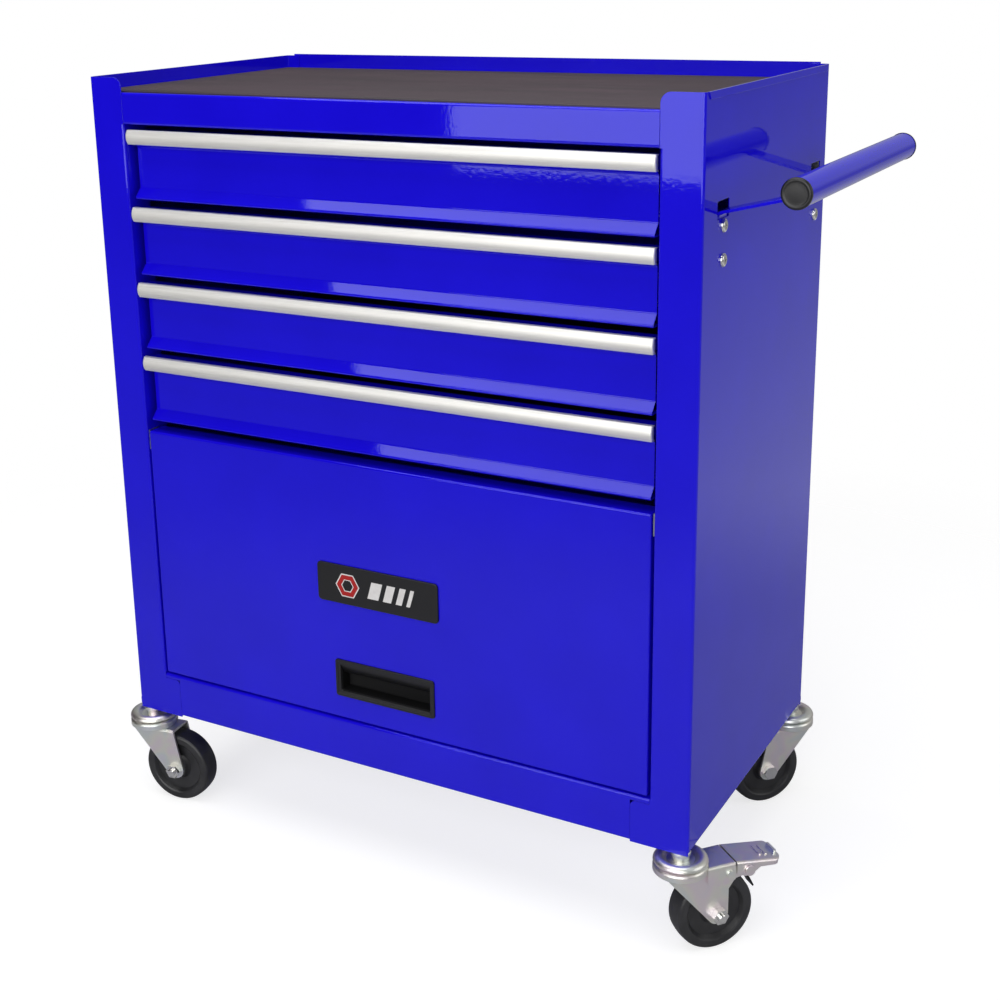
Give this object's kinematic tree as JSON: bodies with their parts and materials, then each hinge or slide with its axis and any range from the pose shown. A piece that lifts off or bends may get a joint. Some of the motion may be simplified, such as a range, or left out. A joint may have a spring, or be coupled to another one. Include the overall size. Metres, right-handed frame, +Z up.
{
  "type": "tool cart",
  "caption": "Sheet-steel rolling tool cabinet with sliding drawers, a lift-up door, a matted top tray, a side push handle and swivel casters with brakes.",
  "frame": {"origin": "on the floor, under the middle of the whole object's box", "axes": "+Z up, drawers face -Y, push handle on +X"},
  "size_m": [0.712, 0.355, 0.757],
  "materials": {
    "blue_powder_coat": "glossy ultramarine powder coat",
    "anodised_aluminium": "satin anodised extrusion",
    "bright_zinc_plate": "bright zinc plate",
    "slide_steel": "galvanised",
    "black_moulded_plastic": "moulded, satin",
    "top_mat_rubber": "smooth ribbed mat",
    "drawer_liner_foam": "matt foam",
    "wheel_rubber": "moulded hard rubber",
    "black_spring_steel": "black oxide"
  },
  "bodies": {
    "cabinet": {"side_panel_left": "blue_powder_coat", "side_panel_right": "blue_powder_coat", "back_panel": "blue_powder_coat", "top_panel": "blue_powder_coat", "base_panel": "blue_powder_coat", "top_mat": "top_mat_rubber", "cabinet_slides_left": "slide_steel", "cabinet_slides_right": "slide_steel", "handle_brackets": "blue_powder_coat", "handle_tube": "blue_powder_coat", "handle_end_caps": "black_moulded_plastic", "handle_screws": "bright_zinc_plate", "door_hinge_pins": "slide_steel", "door_catch": "slide_steel", "caster_nuts": "bright_zinc_plate", "caster_front_left_race": "bright_zinc_plate", "caster_front_right_race": "bright_zinc_plate", "caster_rear_left_race": "bright_zinc_plate", "caster_rear_right_race": "bright_zinc_plate"},
    "drawer_1": {"drawer_1_front": "blue_powder_coat", "drawer_1_handle": "anodised_aluminium", "drawer_1_tray": "blue_powder_coat", "drawer_1_liner": "drawer_liner_foam", "drawer_1_slides": "slide_steel"},
    "drawer_2": {"drawer_2_front": "blue_powder_coat", "drawer_2_handle": "anodised_aluminium", "drawer_2_tray": "blue_powder_coat", "drawer_2_liner": "drawer_liner_foam", "drawer_2_slides": "slide_steel"},
    "drawer_3": {"drawer_3_front": "blue_powder_coat", "drawer_3_handle": "anodised_aluminium", "drawer_3_tray": "blue_powder_coat", "drawer_3_liner": "drawer_liner_foam", "drawer_3_slides": "slide_steel"},
    "drawer_4": {"drawer_4_front": "blue_powder_coat", "drawer_4_handle": "anodised_aluminium", "drawer_4_tray": "blue_powder_coat", "drawer_4_liner": "drawer_liner_foam", "drawer_4_slides": "slide_steel"},
    "door": {"door_panel": "blue_powder_coat", "door_pull": "black_moulded_plastic", "door_badge": "black_moulded_plastic"},
    "caster_front_left_fork": {"caster_front_left_yoke": "bright_zinc_plate", "caster_front_left_axle": "bright_zinc_plate"},
    "caster_front_left_wheel": {"caster_front_left_wheel": "wheel_rubber"},
    "caster_front_right_fork": {"caster_front_right_yoke": "bright_zinc_plate", "caster_front_right_axle": "bright_zinc_plate", "caster_front_right_brake_cover": "bright_zinc_plate", "caster_front_right_brake_leaf": "black_spring_steel"},
    "caster_front_right_wheel": {"caster_front_right_wheel": "wheel_rubber"},
    "caster_front_right_pedal": {"caster_front_right_brake_pedal": "bright_zinc_plate"},
    "caster_rear_left_fork": {"caster_rear_left_yoke": "bright_zinc_plate", "caster_rear_left_axle": "bright_zinc_plate", "caster_rear_left_brake_cover": "bright_zinc_plate", "caster_rear_left_brake_leaf": "black_spring_steel"},
    "caster_rear_left_wheel": {"caster_rear_left_wheel": "wheel_rubber"},
    "caster_rear_left_pedal": {"caster_rear_left_brake_pedal": "bright_zinc_plate"},
    "caster_rear_right_fork": {"caster_rear_right_yoke": "bright_zinc_plate", "caster_rear_right_axle": "bright_zinc_plate"},
    "caster_rear_right_wheel": {"caster_rear_right_wheel": "wheel_rubber"}
  },
  "joints": [
    {"name": "drawer_1_slide", "type": "slide", "parent": "cabinet", "child": "drawer_1", "axis": [0, -1, 0], "range_m": [0, 0.2]},
    {"name": "drawer_2_slide", "type": "slide", "parent": "cabinet", "child": "drawer_2", "axis": [0, -1, 0], "range_m": [0, 0.2]},
    {"name": "drawer_3_slide", "type": "slide", "parent": "cabinet", "child": "drawer_3", "axis": [0, -1, 0], "range_m": [0, 0.2]},
    {"name": "drawer_4_slide", "type": "slide", "parent": "cabinet", "child": "drawer_4", "axis": [0, -1, 0], "range_m": [0, 0.2]},
    {"name": "door_hinge", "type": "hinge", "parent": "cabinet", "child": "door", "pos_m": [-0.034, -0.151, 0.4005], "axis": [-1, 0, 0], "range_deg": [0, 90]},
    {"name": "caster_front_left_swivel", "type": "hinge", "parent": "cabinet", "child": "caster_front_left_fork", "pos_m": [-0.3315, -0.153, 0.1005], "axis": [0, 0, 1], "continuous": true},
    {"name": "caster_front_left_roll", "type": "hinge", "parent": "caster_front_left_fork", "child": "caster_front_left_wheel", "pos_m": [-0.30103, -0.14926, 0.0375], "axis": [0.1219, -0.9925, 0], "continuous": true},
    {"name": "caster_front_right_swivel", "type": "hinge", "parent": "cabinet", "child": "caster_front_right_fork", "pos_m": [0.2635, -0.153, 0.1005], "axis": [0, 0, 1], "continuous": true},
    {"name": "caster_front_right_roll", "type": "hinge", "parent": "caster_front_right_fork", "child": "caster_front_right_wheel", "pos_m": [0.28344, -0.12966, 0.0375], "axis": [0.7604, -0.6494, 0], "continuous": true},
    {"name": "caster_front_right_brake", "type": "hinge", "parent": "caster_front_right_fork", "child": "caster_front_right_pedal", "pos_m": [0.30247, -0.10738, 0.0762], "axis": [-0.7604, 0.6494, 0], "range_deg": [0, 12]},
    {"name": "caster_rear_left_swivel", "type": "hinge", "parent": "cabinet", "child": "caster_rear_left_fork", "pos_m": [-0.3315, 0.153, 0.1005], "axis": [0, 0, 1], "continuous": true},
    {"name": "caster_rear_left_roll", "type": "hinge", "parent": "caster_rear_left_fork", "child": "caster_rear_left_wheel", "pos_m": [-0.31615, 0.12641, 0.0375], "axis": [-0.866, -0.5, 0], "continuous": true},
    {"name": "caster_rear_left_brake", "type": "hinge", "parent": "caster_rear_left_fork", "child": "caster_rear_left_pedal", "pos_m": [-0.3015, 0.10104, 0.0762], "axis": [0.866, 0.5, 0], "range_deg": [0, 12]},
    {"name": "caster_rear_right_swivel", "type": "hinge", "parent": "cabinet", "child": "caster_rear_right_fork", "pos_m": [0.2635, 0.153, 0.1005], "axis": [0, 0, 1], "continuous": true},
    {"name": "caster_rear_right_roll", "type": "hinge", "parent": "caster_rear_right_fork", "child": "caster_rear_right_wheel", "pos_m": [0.24336, 0.12983, 0.0375], "axis": [-0.7547, 0.6561, 0], "continuous": true}
  ]
}
